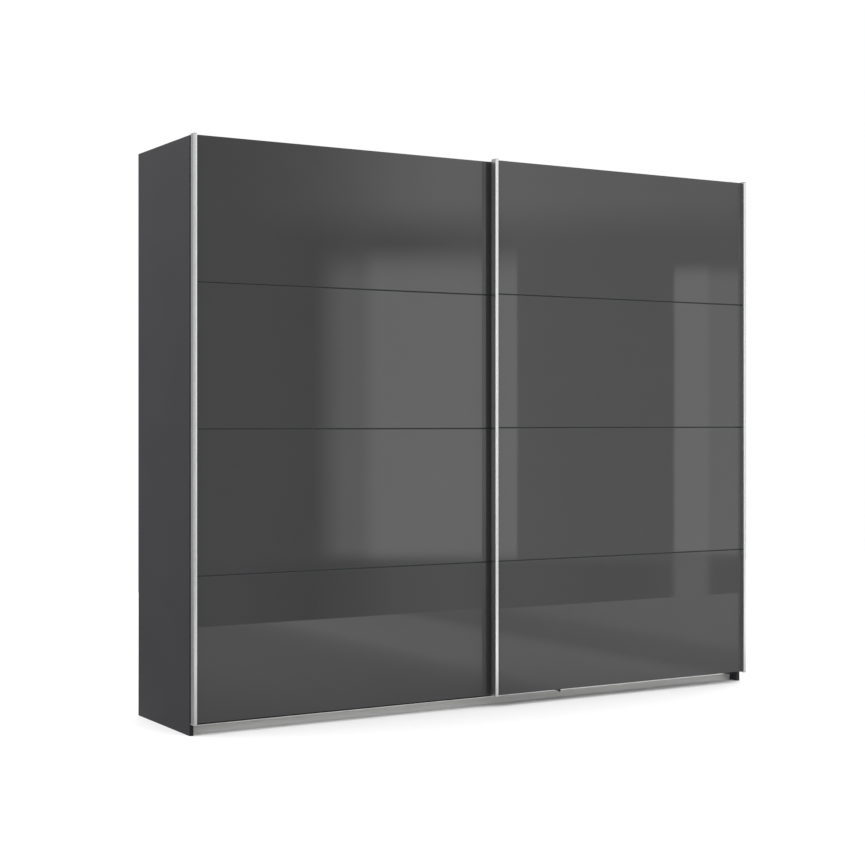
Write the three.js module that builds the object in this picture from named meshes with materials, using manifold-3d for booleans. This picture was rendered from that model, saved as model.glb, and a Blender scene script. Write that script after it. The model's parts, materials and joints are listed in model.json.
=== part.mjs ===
// A two-door sliding wardrobe: a board carcass with two compartments, and two glass-faced doors
// that hang from wheels in an upper running track and pass each other in front of the carcass.
//
// Millimetres, +Z up. The origin is on the floor at the centre of the wardrobe's outline:
// +X to the right as one faces the doors, -Y towards the room, +Y towards the wall.
import * as THREE from "three";
import { mergeVertices } from "three/addons/utils/BufferGeometryUtils.js";
import Module from "manifold-3d";

const wasm = await Module();
wasm.setup();

// ---- driving dimensions -------------------------------------------------------------------

const GAP = 0.3; // between pieces that touch

const WIDTH = 2710;
const CARCASS_HEIGHT = 2273;
const CARCASS_DEPTH = 535;
const BOARD = 16; // thickness of the carcass boards

const DOOR_WIDTH = 1358;
const PANE_PITCH = 556.8; // from seam to seam of the four glass panes
const PANES = 4;
const SEAM = 5; // gap between two panes
const DOOR_BOARD = 9;
const GLASS = 4;
const REAR_DOOR_INSET = 3; // left door's edge from the left face of the carcass
const FRONT_DOOR_INSET = 19; // right door's edge from the right face of the carcass
const REAR_DOOR_BOTTOM = 47.1;
const FRONT_DOOR_BOTTOM = 50.3;
const REAR_DOOR_BACK = -1; // from the carcass front, towards the room
const FRONT_DOOR_BACK = -35.5;

const PROFILE_WIDTH = 14; // aluminium handle profile on each door edge
const PROFILE_DEPTH = 32;
const PROFILE_WALL = 2;
const PROFILE_CORNER = 1.8;
const PROFILE_LIP = 1; // chamfer of the corner beside the glass
const CAP = 3; // end cap beyond the profile

const TRACK_TOP_PANEL = 2232; // upper face of the top panels, which carry the track
const TRACK_BASE = 2;
const TRACK_FRONT = 3;
const TRACK_BACK = 52;
const TRACK_FLANGE = 12;
const TRACK_WALL = 1.5;
const RIB_HEIGHT = 8;
const RIB_WIDTH = 2.4;
const REAR_DOOR_RIB = 11; // centre line of the rib for the left door's wheels
const FRONT_DOOR_RIB = 41;

const WHEEL_RADIUS = 16;
const WHEEL_WIDTH = 10;
const WHEEL_GROOVE = 1.5;
const WHEEL_INSET = 60; // wheel centre from the door's edge
const TREAD_PLAY = 0.3; // between the rib and each side of the tread
const PIN_RADIUS = 4;
const PIN_HEAD = 1.6; // thickness of the pin's head, and
const PIN_HEAD_LEDGE = 2; // how far it reaches past the pin
const BORE_RADIUS = 4.1;
const ROUND = 32; // sides of a wheel, a pin and a foot
const CURVE_STEPS = 5; // chords of a rounded corner in a section

const PLATE = 2; // steel of the hangers and guides
const HANGER_WIDTH = 40;
const HANGER_NECK = 24;
const HANGER_HEIGHT = 92; // of plate let into the door board
const HANGER_LEG = 10; // of the front hanger's leg below the axle
const HANGER_DROP = 4; // of the rear hanger's top below the door's top
const GUIDE_WIDTH = 10;
const GUIDE_HEIGHT = 60;
const GUIDE_HANG = 4; // how far the plate hangs below the arm
const GUIDE_FINGER = 5.2;
const FRONT_GUIDE_ARM = 43.2; // upper face of the arm and foot of the finger, off the floor
const FRONT_GUIDE_FINGER = 24;
const REAR_GUIDE_ARM = 62;
const REAR_GUIDE_FINGER = 49;
const GUIDE_INSET = 344; // from the door's edge at the middle of the wardrobe

const RAIL_FRONT = 48.9; // face of the silver lower rail behind the carcass front
const RAIL_WALL = 1.6;
const RAIL_LIP_TOP = 31.4;
const RAIL_LIP = 5;
const RAIL_BEAD = 1; // how far the lip stands proud of the face
const LOWER_CHANNEL_FLOOR = 20;
const REAR_WEB = 64; // front face of the web behind the lower channel
const BRIDGE = 45; // underside of the bridge that carries the upper channel
const UPPER_CHANNEL_FRONT = 28;
const UPPER_CHANNEL_BACK = 42;
const UPPER_CHANNEL_TOP = 57;
const PANEL_FRONT = 66; // front edge of the bottom panels
const BOTTOM_PANEL = 47; // underside of the bottom panels
const REAR_PLINTH_FRONT = 498;
const FOOT_BASE = 22; // radii of a support foot's base, stem and head
const FOOT_STEM = 9;
const FOOT_HEAD = 16;
const FOOT_RIM = 4; // thickness of the base's and the head's rim
const FOOT_HEAD_HEIGHT = 7;

const BACK_PANEL = 3;
const BACK_GROOVE = 522; // from the carcass front
const GROOVE_DEPTH = 6;
const BACK_FOOT = 8; // lowest edge of the back panels
const BACK_RISE = 20; // of the back panels above the top panels
const STRIP_HALF = 11; // half the width of the strips that join the back panels
const STRIP_WEB = 1; // half the web between two back panels
const STRIP_SKIN = 1;
const PARTITION_FRONT = 20;
const PARTITION_NOTCH = 5; // height of the partition's front notch above the bottom panels
const NOTCH_PLAY = 1;
const SHELF_FRONT = 40;
const SHELF_HEIGHT = 1900;
const CLOTHES_RAIL_DROP = 62; // from the shelf's underside to the rail's centre
const CLOTHES_RAIL_HEIGHT = 30;
const CLOTHES_RAIL_WIDTH = 15;
const CLOTHES_RAIL_WALL = 1.4;
const CLOTHES_RAIL_END = 5; // from the rail's end to the upright beside it
const BRACKET_PLATE = 3;
const BRACKET_WIDTH = 34;
const BRACKET_HEIGHT = 54;
const BRACKET_COLLAR = 12; // how far the collar reaches along the rail
const COLLAR_PLAY = 1; // of the rail in the collar, and
const COLLAR_WALL = 5; // the collar's size over the rail's

const STOP_HEIGHT = 20;
const STOP_INSET = 2; // of a track end stop inside the track's flanges

// ---- derived places -----------------------------------------------------------------------

const DOOR_HEIGHT = PANES * PANE_PITCH;
const DOOR_THICKNESS = DOOR_BOARD + GLASS;
const STACK = PROFILE_DEPTH - FRONT_DOOR_BACK;
const CARCASS_FRONT = STACK - (CARCASS_DEPTH + STACK) / 2;
const INNER_HALF = WIDTH / 2 - BOARD; // inner face of a side panel from the middle
const RIB_TOP = TRACK_TOP_PANEL + GAP + RIB_HEIGHT;
const AXLE_HEIGHT = RIB_TOP + GAP + WHEEL_RADIUS - WHEEL_GROOVE;
const ARM_TOP = FRONT_DOOR_BOTTOM + DOOR_HEIGHT + CAP - GAP; // top of the front door's arms
const BOTTOM_PANEL_TOP = BOTTOM_PANEL + BOARD;
const TOP_PANEL_UNDERSIDE = TRACK_TOP_PANEL - BOARD;
const BACK_TOP = TRACK_TOP_PANEL + BACK_RISE;
const BAY_CENTRE = (INNER_HALF + BOARD / 2) / 2; // middle of a compartment from the middle
const PANEL_REAR = BACK_GROOVE - STRIP_SKIN - 2 * GAP; // rear edge of panels, shelves and partition

// ---- materials ----------------------------------------------------------------------------

const finish = (color, roughness, metalness = 0) => () =>
  new THREE.MeshStandardMaterial({ color, roughness, metalness });
const graphiteBoard = finish(0x46454a, 0.5);
const backBoard = finish(0x5b5a5e, 0.7);
const lacqueredGlass = finish(0x444446, 0.05);
const satinAluminium = finish(0xc9cacb, 0.35, 1);
const silverRail = finish(0xa9aaab, 0.4, 1);
const greyPlastic = finish(0xa4a5a6, 0.5);
const blackPlastic = finish(0x1b1b1c, 0.55);
const zincSteel = finish(0xb4b6b8, 0.4, 1);
const chromeSteel = finish(0xd2d3d4, 0.15, 1);
const whiteNylon = finish(0xdedcd4, 0.5);

// ---- shape helpers ------------------------------------------------------------------------

// A named mesh from a geometry.
function piece(name, geometry, material) {
  const mesh = new THREE.Mesh(geometry, material());
  mesh.name = name;
  return mesh;
}

// A box from its lowest to its highest corner.
function block([x0, y0, z0], [x1, y1, z1]) {
  const box = new THREE.BoxGeometry(x1 - x0, y1 - y0, z1 - z0);
  return box.translate((x0 + x1) / 2, (y0 + y1) / 2, (z0 + z1) / 2);
}

function outline(points) {
  return new THREE.Shape(points.map(([a, b]) => new THREE.Vector2(a, b)));
}

// The mirror image of a section in X and Y about the line x = about.
function mirrored(shape, about) {
  const turned = (p) => new THREE.Vector2(2 * about - p.x, p.y);
  const flip = (path) => path.getPoints(CURVE_STEPS).map(turned);
  const other = new THREE.Shape(flip(shape));
  other.holes = shape.holes.map((hole) => new THREE.Path(flip(hole)));
  return other;
}

// A section in X and Y, drawn out along +Z from z0 to z1.
function alongZ(shape, z0, z1) {
  const settings = { depth: z1 - z0, bevelEnabled: false, curveSegments: CURVE_STEPS };
  return new THREE.ExtrudeGeometry(shape, settings).translate(0, 0, z0);
}

// A section in Y and Z, drawn out along +X from x0 to x1.
function alongX(shape, x0, x1) {
  const turn = new THREE.Matrix4().makeBasis(
    new THREE.Vector3(0, 1, 0),
    new THREE.Vector3(0, 0, 1),
    new THREE.Vector3(1, 0, 0),
  );
  return alongZ(shape, x0, x1).applyMatrix4(turn);
}

// A closed profile of [radius, distance along +Y], turned about the line x = 0, z = height.
function turnedAboutY(profile, height) {
  const points = profile.map(([r, y]) => new THREE.Vector2(r, y));
  return new THREE.LatheGeometry(points, ROUND).translate(0, 0, height);
}

function toManifold(geometry) {
  const bare = geometry.clone();
  bare.deleteAttribute("normal");
  bare.deleteAttribute("uv");
  const merged = mergeVertices(bare, 1e-4);
  return new wasm.Manifold(
    new wasm.Mesh({
      numProp: 3,
      vertProperties: merged.attributes.position.array,
      triVerts: new Uint32Array(merged.index.array),
    }),
  );
}

function toGeometry(manifold) {
  const mesh = manifold.getMesh();
  const geometry = new THREE.BufferGeometry();
  geometry.setAttribute("position", new THREE.BufferAttribute(mesh.vertProperties, 3));
  geometry.setIndex(new THREE.BufferAttribute(mesh.triVerts, 1));
  geometry.computeVertexNormals();
  return geometry;
}

function joined(...geometries) {
  return toGeometry(geometries.map(toManifold).reduce((sum, next) => sum.add(next)));
}

function cut(body, ...tools) {
  return toGeometry(tools.map(toManifold).reduce((rest, tool) => rest.subtract(tool), toManifold(body)));
}

// ---- carcass ------------------------------------------------------------------------------
// Built from the carcass front (y = 0) back to CARCASS_DEPTH, centred on x = 0.

// A side panel for the left side, with the groove for the back panels in its inner face.
function sidePanelSection() {
  const inner = -INNER_HALF;
  return outline([
    [-WIDTH / 2, 0],
    [inner, 0],
    [inner, BACK_GROOVE - GAP],
    [inner - GROOVE_DEPTH, BACK_GROOVE - GAP],
    [inner - GROOVE_DEPTH, BACK_GROOVE + BACK_PANEL + GAP],
    [inner, BACK_GROOVE + BACK_PANEL + GAP],
    [inner, CARCASS_DEPTH],
    [-WIDTH / 2, CARCASS_DEPTH],
  ]);
}

// The partition stands on the floor, notched for the lower rail and the rear plinth bar.
function partitionSection() {
  const top = TOP_PANEL_UNDERSIDE - GAP;
  const notch = PANEL_FRONT + NOTCH_PLAY;
  return outline([
    [notch, 0],
    [REAR_PLINTH_FRONT - GAP, 0],
    [REAR_PLINTH_FRONT - GAP, BOTTOM_PANEL],
    [PANEL_REAR, BOTTOM_PANEL],
    [PANEL_REAR, top],
    [PARTITION_FRONT, top],
    [PARTITION_FRONT, BOTTOM_PANEL_TOP + PARTITION_NOTCH],
    [notch, BOTTOM_PANEL_TOP + PARTITION_NOTCH],
  ]);
}

// The upper track: a base plate with three upright flanges and two round-topped running ribs.
function trackSection() {
  const shape = new THREE.Shape();
  const base = TRACK_TOP_PANEL + GAP;
  const floor = base + TRACK_BASE;
  const wall = TRACK_WALL;
  const middle = (REAR_DOOR_RIB + FRONT_DOOR_RIB) / 2;
  const upright = (y0, y1, top) => {
    shape.lineTo(y0, floor);
    shape.lineTo(y0, top);
    shape.lineTo(y1, top);
    shape.lineTo(y1, floor);
  };
  const rib = (centre) => {
    const r = RIB_WIDTH / 2;
    shape.lineTo(centre - r, floor);
    shape.lineTo(centre - r, RIB_TOP - r);
    shape.absarc(centre, RIB_TOP - r, r, Math.PI, 0, true);
    shape.lineTo(centre + r, floor);
  };
  shape.moveTo(TRACK_BACK, base);
  shape.lineTo(TRACK_FRONT, base);
  shape.lineTo(TRACK_FRONT, base + TRACK_FLANGE);
  shape.lineTo(TRACK_FRONT + wall, base + TRACK_FLANGE);
  shape.lineTo(TRACK_FRONT + wall, floor);
  rib(REAR_DOOR_RIB);
  upright(middle - wall / 2, middle + wall / 2, base + TRACK_FLANGE);
  rib(FRONT_DOOR_RIB);
  shape.lineTo(TRACK_BACK - wall, floor);
  shape.lineTo(TRACK_BACK - wall, base + TRACK_FLANGE);
  shape.lineTo(TRACK_BACK, base + TRACK_FLANGE);
  return shape;
}

// Channels of the lower rail, each between two walls: the front door's guide runs in the lower
// one, behind the silver face, and the rear door's guide in the upper one, ahead of and above it.
function lowerRailSection() {
  const t = RAIL_WALL;
  const r = RAIL_BEAD;
  const face = RAIL_FRONT + RAIL_BEAD;
  const shape = new THREE.Shape();
  const lipBottom = RAIL_LIP_TOP - RAIL_LIP;
  shape.moveTo(face, 0);
  shape.lineTo(face + t, 0);
  shape.lineTo(face + t, LOWER_CHANNEL_FLOOR);
  shape.lineTo(REAR_WEB, LOWER_CHANNEL_FLOOR);
  shape.lineTo(REAR_WEB, 0);
  shape.lineTo(REAR_WEB + t, 0);
  shape.lineTo(REAR_WEB + t, BRIDGE + t);
  shape.lineTo(UPPER_CHANNEL_BACK, BRIDGE + t);
  shape.lineTo(UPPER_CHANNEL_BACK, UPPER_CHANNEL_TOP);
  shape.lineTo(UPPER_CHANNEL_BACK - t, UPPER_CHANNEL_TOP);
  shape.lineTo(UPPER_CHANNEL_BACK - t, BRIDGE + t);
  shape.lineTo(UPPER_CHANNEL_FRONT + t, BRIDGE + t);
  shape.lineTo(UPPER_CHANNEL_FRONT + t, UPPER_CHANNEL_TOP);
  shape.lineTo(UPPER_CHANNEL_FRONT, UPPER_CHANNEL_TOP);
  shape.lineTo(UPPER_CHANNEL_FRONT, BRIDGE);
  shape.lineTo(REAR_WEB, BRIDGE);
  shape.lineTo(REAR_WEB, LOWER_CHANNEL_FLOOR + t);
  shape.lineTo(face + t, LOWER_CHANNEL_FLOOR + t);
  shape.lineTo(face + t, RAIL_LIP_TOP);
  // the lip is a bead that stands proud of the face below it
  shape.lineTo(face, RAIL_LIP_TOP);
  shape.absarc(face, RAIL_LIP_TOP - r, r, Math.PI / 2, Math.PI, false);
  shape.lineTo(RAIL_FRONT, lipBottom + r);
  shape.absarc(face, lipBottom + r, r, Math.PI, 1.5 * Math.PI, false);
  return shape;
}

// An H-section strip that joins two back panels, centred on x.
function jointStripSection(x) {
  const half = STRIP_HALF;
  const web = STRIP_WEB;
  const skin = STRIP_SKIN;
  const front = BACK_GROOVE - GAP;
  const back = BACK_GROOVE + BACK_PANEL + GAP;
  return outline([
    [x - half, front - skin],
    [x + half, front - skin],
    [x + half, front],
    [x + web, front],
    [x + web, back],
    [x + half, back],
    [x + half, back + skin],
    [x - half, back + skin],
    [x - half, back],
    [x - web, back],
    [x - web, front],
    [x - half, front],
  ]);
}

// A support foot under the middle of a bottom panel: a broad base, a threaded stem and a head.
function supportFoot(x, y) {
  const top = BOTTOM_PANEL - GAP;
  const profile = [
    [0, 0],
    [FOOT_BASE, 0],
    [FOOT_BASE, FOOT_RIM],
    [FOOT_STEM, 2 * FOOT_RIM],
    [FOOT_STEM, top - FOOT_HEAD_HEIGHT],
    [FOOT_HEAD, top - FOOT_RIM],
    [FOOT_HEAD, top],
    [0, top],
  ];
  const points = profile.map(([r, z]) => new THREE.Vector2(r, z));
  const upright = new THREE.LatheGeometry(points, ROUND).rotateX(Math.PI / 2);
  return upright.translate(x, y, 0);
}

// An upright oval in Y and Z about the clothes rail's centre line.
function oval(width, height, Kind = THREE.Shape) {
  const y = (SHELF_FRONT + BACK_GROOVE) / 2;
  const z = SHELF_HEIGHT - CLOTHES_RAIL_DROP;
  const r = width / 2;
  const straight = height / 2 - r;
  const shape = new Kind();
  shape.absarc(y, z + straight, r, 0, Math.PI, false);
  shape.absarc(y, z - straight, r, Math.PI, 2 * Math.PI, false);
  return shape;
}

// The rail's outline, grown all round by half of more.
function railOval(more, Kind) {
  return oval(CLOTHES_RAIL_WIDTH + more, CLOTHES_RAIL_HEIGHT + more, Kind);
}

function clothesRail(x0, x1) {
  const section = railOval(0);
  section.holes.push(railOval(-2 * CLOTHES_RAIL_WALL, THREE.Path));
  return alongX(section, x0, x1);
}

// A rail end bracket on the upright at x, facing +X (side = 1) or -X (side = -1).
function railBracket(x, side) {
  const between = (from, to) => [x + side * from, x + side * to].sort((a, b) => a - b);
  const plate = alongX(oval(BRACKET_WIDTH, BRACKET_HEIGHT), ...between(GAP, GAP + BRACKET_PLATE));
  const ring = railOval(COLLAR_WALL);
  ring.holes.push(railOval(COLLAR_PLAY, THREE.Path));
  const collarEnd = GAP + BRACKET_PLATE + BRACKET_COLLAR;
  return joined(plate, alongX(ring, ...between(GAP + BRACKET_PLATE / 2, collarEnd)));
}

function makeCarcass() {
  const carcass = new THREE.Group();
  const add = (name, geometry, material) => carcass.add(piece(name, geometry, material));
  const half = BOARD / 2;

  add("left_side_panel", alongZ(sidePanelSection(), 0, CARCASS_HEIGHT), graphiteBoard);
  const rightSection = mirrored(sidePanelSection(), 0);
  add("right_side_panel", alongZ(rightSection, 0, CARCASS_HEIGHT), graphiteBoard);
  add("centre_partition", alongX(partitionSection(), -half, half), graphiteBoard);

  for (const [label, side] of [["left", -1], ["right", 1]]) {
    const span = (from, to) => [side * from, side * to].sort((a, b) => a - b);
    const [t0, t1] = span(GAP / 2, INNER_HALF - GAP);
    const topPanel = block([t0, TRACK_FRONT, TOP_PANEL_UNDERSIDE], [t1, PANEL_REAR, TRACK_TOP_PANEL]);
    add(`top_panel_${label}`, topPanel, graphiteBoard);

    const [b0, b1] = span(half + GAP, INNER_HALF - GAP);
    const bottomPanel = block([b0, PANEL_FRONT, BOTTOM_PANEL + GAP], [b1, PANEL_REAR, BOTTOM_PANEL_TOP]);
    add(`bottom_panel_${label}`, bottomPanel, graphiteBoard);
    const shelf = block([b0, SHELF_FRONT, SHELF_HEIGHT], [b1, PANEL_REAR, SHELF_HEIGHT + BOARD]);
    add(`hat_shelf_${label}`, shelf, graphiteBoard);

    const railEnds = span(half + CLOTHES_RAIL_END, INNER_HALF - CLOTHES_RAIL_END);
    add(`clothes_rail_${label}`, clothesRail(...railEnds), chromeSteel);
    add(`clothes_rail_bracket_${label}_inner`, railBracket(side * half, side), zincSteel);
    add(`clothes_rail_bracket_${label}_outer`, railBracket(side * INNER_HALF, -side), zincSteel);

    const footY = (PANEL_FRONT + REAR_PLINTH_FRONT) / 2;
    add(`support_foot_${label}`, supportFoot(side * BAY_CENTRE, footY), blackPlastic);

    const joint = side * BAY_CENTRE;
    const edge = INNER_HALF + GROOVE_DEPTH - 2 * GAP;
    const seam = STRIP_WEB + GAP;
    const backs = [["outer", BAY_CENTRE + seam, edge], ["inner", GAP, BAY_CENTRE - seam]];
    for (const [place, from, to] of backs) {
      const [p0, p1] = span(from, to);
      const sheet = block([p0, BACK_GROOVE, BACK_FOOT], [p1, BACK_GROOVE + BACK_PANEL, BACK_TOP]);
      add(`back_panel_${label}_${place}`, sheet, backBoard);
    }
    const strip = alongZ(jointStripSection(joint), BACK_FOOT, BACK_TOP);
    add(`back_joint_strip_${label}`, strip, blackPlastic);
  }

  const end = INNER_HALF - GAP;
  const barBack = REAR_PLINTH_FRONT + BOARD;
  const bar = block([-end, REAR_PLINTH_FRONT, 0], [end, barBack, BOTTOM_PANEL]);
  add("rear_plinth_bar", bar, graphiteBoard);
  add("upper_running_track", alongX(trackSection(), -end, end), satinAluminium);
  add("lower_guide_rail", alongX(lowerRailSection(), -end, end), silverRail);

  // each stop fills the track's end up to the wheel of the door that closes there
  const wheelEdge = WHEEL_INSET - WHEEL_RADIUS - GAP;
  const stops = [
    ["left", -end, -WIDTH / 2 + REAR_DOOR_INSET + wheelEdge],
    ["right", WIDTH / 2 - FRONT_DOOR_INSET - wheelEdge, end],
  ];
  for (const [label, x0, x1] of stops) {
    const base = TRACK_TOP_PANEL + 2 * GAP + TRACK_FLANGE;
    const low = [x0, TRACK_FRONT + STOP_INSET, base];
    const high = [x1, TRACK_BACK - STOP_INSET, base + STOP_HEIGHT];
    add(`track_end_stop_${label}`, block(low, high), blackPlastic);
  }
  carcass.position.y = CARCASS_FRONT;
  return carcass;
}

// ---- doors --------------------------------------------------------------------------------
// A door is built with its left edge at x = 0, its back face at y = 0 and its foot at z = 0.
// reach is the distance from its back face to the carcass front, and lift its height off the floor.

// The handle profile on the left edge: a wall over the door's edge, and a hollow grip bar proud
// of the glass with a round outer corner.
function profileSection() {
  const shape = new THREE.Shape();
  const face = -DOOR_THICKNESS - GAP;
  const r = PROFILE_CORNER;
  shape.moveTo(PROFILE_WALL, 0);
  shape.lineTo(0, 0);
  shape.lineTo(0, -PROFILE_DEPTH + r);
  shape.absarc(r, -PROFILE_DEPTH + r, r, Math.PI, 1.5 * Math.PI, false);
  shape.lineTo(PROFILE_WIDTH - PROFILE_LIP, -PROFILE_DEPTH);
  shape.lineTo(PROFILE_WIDTH, -PROFILE_DEPTH + PROFILE_LIP);
  shape.lineTo(PROFILE_WIDTH, face);
  shape.lineTo(PROFILE_WALL, face);
  const hollow = new THREE.Path();
  const wall = PROFILE_WALL;
  hollow.moveTo(2 * wall, face - wall);
  hollow.lineTo(PROFILE_WIDTH - wall, face - wall);
  hollow.lineTo(PROFILE_WIDTH - wall, -PROFILE_DEPTH + wall);
  hollow.lineTo(2 * wall, -PROFILE_DEPTH + wall);
  shape.holes.push(hollow);
  return shape;
}

// The end cap follows the profile's outer shape.
function capSection() {
  const shape = new THREE.Shape();
  const r = PROFILE_CORNER;
  shape.moveTo(0, 0);
  shape.lineTo(0, -PROFILE_DEPTH + r);
  shape.absarc(r, -PROFILE_DEPTH + r, r, Math.PI, 1.5 * Math.PI, false);
  shape.lineTo(PROFILE_WIDTH, -PROFILE_DEPTH);
  shape.lineTo(PROFILE_WIDTH, 0);
  return shape;
}

// A grooved wheel about x = 0, its middle at y.
function wheel(y, height) {
  const h = WHEEL_WIDTH / 2;
  const bottom = WHEEL_RADIUS - WHEEL_GROOVE;
  const grooveHalf = RIB_WIDTH / 2 + TREAD_PLAY;
  const profile = [
    [BORE_RADIUS, y - h],
    [WHEEL_RADIUS, y - h],
    [WHEEL_RADIUS, y - grooveHalf - WHEEL_GROOVE],
    [bottom, y - grooveHalf],
    [bottom, y + grooveHalf],
    [WHEEL_RADIUS, y + grooveHalf + WHEEL_GROOVE],
    [WHEEL_RADIUS, y + h],
    [BORE_RADIUS, y + h],
    [BORE_RADIUS, y - h],
  ];
  return turnedAboutY(profile, height);
}

// The pin that a wheel turns on, from the plate's face to a head behind the wheel.
function axlePin(y0, wheelMiddle, height) {
  const shoulder = wheelMiddle + WHEEL_WIDTH / 2 + GAP;
  const headRadius = PIN_RADIUS + PIN_HEAD_LEDGE;
  const profile = [
    [0, y0],
    [PIN_RADIUS, y0],
    [PIN_RADIUS, shoulder],
    [headRadius, shoulder],
    [headRadius, shoulder + PIN_HEAD],
    [0, shoulder + PIN_HEAD],
  ];
  return turnedAboutY(profile, height);
}

// A hanger is a plate let into the door's back. The rear door's wheel sits straight behind it.
// On the front door the plate turns over the rear door and down again to its wheel.
function hanger(isFront, reach, lift, ribLine) {
  const axle = AXLE_HEIGHT - lift;
  const foot = DOOR_HEIGHT - HANGER_HEIGHT;
  const half = HANGER_WIDTH / 2;
  const neck = HANGER_NECK / 2;
  if (!isFront) {
    const plate = block([-half, -PLATE, foot], [half, 0, DOOR_HEIGHT - HANGER_DROP]);
    return joined(plate, axlePin(-PLATE / 2, reach + ribLine, axle));
  }
  const top = ARM_TOP - lift;
  const legFace = reach + ribLine - WHEEL_WIDTH / 2 - PLATE;
  const plate = block([-half, -PLATE, foot], [half, 0, top]);
  const arm = block([-neck, -PLATE, top - PLATE], [neck, legFace, top]);
  const leg = block([-neck, legFace - PLATE, axle - HANGER_LEG], [neck, legFace, top]);
  return joined(plate, arm, leg, axlePin(legFace - PLATE / 2, reach + ribLine, axle));
}

// The bottom guide: a plate let into the door's back, an arm towards the carcass, and a finger
// that dips into the door's channel of the lower rail.
function bottomGuide(isFront, reach, lift) {
  const half = GUIDE_WIDTH / 2;
  const channelFront = isFront ? RAIL_FRONT + RAIL_BEAD + RAIL_WALL : UPPER_CHANNEL_FRONT;
  const channelBack = isFront ? REAR_WEB : UPPER_CHANNEL_BACK;
  const armTop = (isFront ? FRONT_GUIDE_ARM : REAR_GUIDE_ARM) - lift;
  const fingerFoot = (isFront ? FRONT_GUIDE_FINGER : REAR_GUIDE_FINGER) - lift;
  const end = reach + (channelFront + channelBack + GUIDE_FINGER) / 2;
  const plate = block([-half, -PLATE, armTop - PLATE - GUIDE_HANG], [half, 0, GUIDE_HEIGHT]);
  const arm = block([-half, -PLATE, armTop - PLATE], [half, end, armTop]);
  const tip = block([-half, end - GUIDE_FINGER, fingerFoot], [half, end, armTop]);
  return joined(plate, arm, tip);
}

// The carrier board, with open pockets in its back for the two hangers and the bottom guide.
function doorBoard(guideX) {
  const edge = PROFILE_WALL + GAP;
  const board = block([edge, -DOOR_BOARD, 0], [DOOR_WIDTH - edge, 0, DOOR_HEIGHT]);
  const deep = -PLATE - GAP;
  const pocket = (x, width, z0, z1) => {
    const half = width / 2 + GAP;
    return block([x - half, deep, z0], [x + half, PLATE, z1]);
  };
  const hangerFoot = DOOR_HEIGHT - HANGER_HEIGHT - GAP;
  const hangerTop = DOOR_HEIGHT + PLATE;
  return cut(
    board,
    pocket(WHEEL_INSET, HANGER_WIDTH, hangerFoot, hangerTop),
    pocket(DOOR_WIDTH - WHEEL_INSET, HANGER_WIDTH, hangerFoot, hangerTop),
    pocket(guideX, GUIDE_WIDTH, -PLATE, GUIDE_HEIGHT + GAP),
  );
}

function makeDoor(label, { isFront, x, back, lift, ribLine, guideX }) {
  const door = new THREE.Group();
  const add = (name, geometry, material) => door.add(piece(`${label}_door_${name}`, geometry, material));
  const reach = -back;

  add("board", doorBoard(guideX), graphiteBoard);
  const edge = PROFILE_WALL + GAP;
  for (let i = 0; i < PANES; i += 1) {
    const z0 = i * PANE_PITCH + (i > 0 ? SEAM / 2 : 0);
    const z1 = (i + 1) * PANE_PITCH - (i < PANES - 1 ? SEAM / 2 : 0);
    const pane = block([edge, -DOOR_THICKNESS, z0], [DOOR_WIDTH - edge, -DOOR_BOARD - GAP, z1]);
    add(`glass_pane_${i + 1}`, pane, lacqueredGlass);
  }

  const turns = { left: (section) => section, right: (section) => mirrored(section, DOOR_WIDTH / 2) };
  for (const [side, facing] of Object.entries(turns)) {
    const cap = facing(capSection());
    add(`handle_profile_${side}`, alongZ(facing(profileSection()), 0, DOOR_HEIGHT), satinAluminium);
    add(`top_cap_${side}`, alongZ(cap, DOOR_HEIGHT + GAP, DOOR_HEIGHT + CAP), greyPlastic);
    add(`bottom_cap_${side}`, alongZ(cap, -CAP, -GAP), greyPlastic);
  }

  const wheelPlaces = { left: WHEEL_INSET, right: DOOR_WIDTH - WHEEL_INSET };
  for (const [side, wheelX] of Object.entries(wheelPlaces)) {
    const bent = hanger(isFront, reach, lift, ribLine).translate(wheelX, 0, 0);
    add(`hanger_${side}`, bent, zincSteel);
    const running = wheel(reach + ribLine, AXLE_HEIGHT - lift).translate(wheelX, 0, 0);
    add(`wheel_${side}`, running, whiteNylon);
  }
  add("bottom_guide", bottomGuide(isFront, reach, lift).translate(guideX, 0, 0), blackPlastic);

  door.position.set(x, CARCASS_FRONT + back, lift);
  return door;
}

// ---- the wardrobe -------------------------------------------------------------------------

const wardrobe = new THREE.Group();
wardrobe.add(makeCarcass());
wardrobe.add(
  makeDoor("left", {
    isFront: false,
    x: -WIDTH / 2 + REAR_DOOR_INSET,
    back: REAR_DOOR_BACK,
    lift: REAR_DOOR_BOTTOM,
    ribLine: REAR_DOOR_RIB,
    guideX: DOOR_WIDTH - GUIDE_INSET,
  }),
);
wardrobe.add(
  makeDoor("right", {
    isFront: true,
    x: WIDTH / 2 - FRONT_DOOR_INSET - DOOR_WIDTH,
    back: FRONT_DOOR_BACK,
    lift: FRONT_DOOR_BOTTOM,
    ribLine: FRONT_DOOR_RIB,
    guideX: GUIDE_INSET,
  }),
);

export default wardrobe;
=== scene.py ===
"""The looks of a two-door sliding wardrobe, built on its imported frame.

Metres, in the frame's own axes: +X to the right as one faces the doors, -Y towards the room, +Z up,
with the origin on the floor at the centre of the wardrobe's outline.
"""
import contextlib
import json
import math

import bmesh
import bpy
from mathutils import Matrix, Vector

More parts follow.
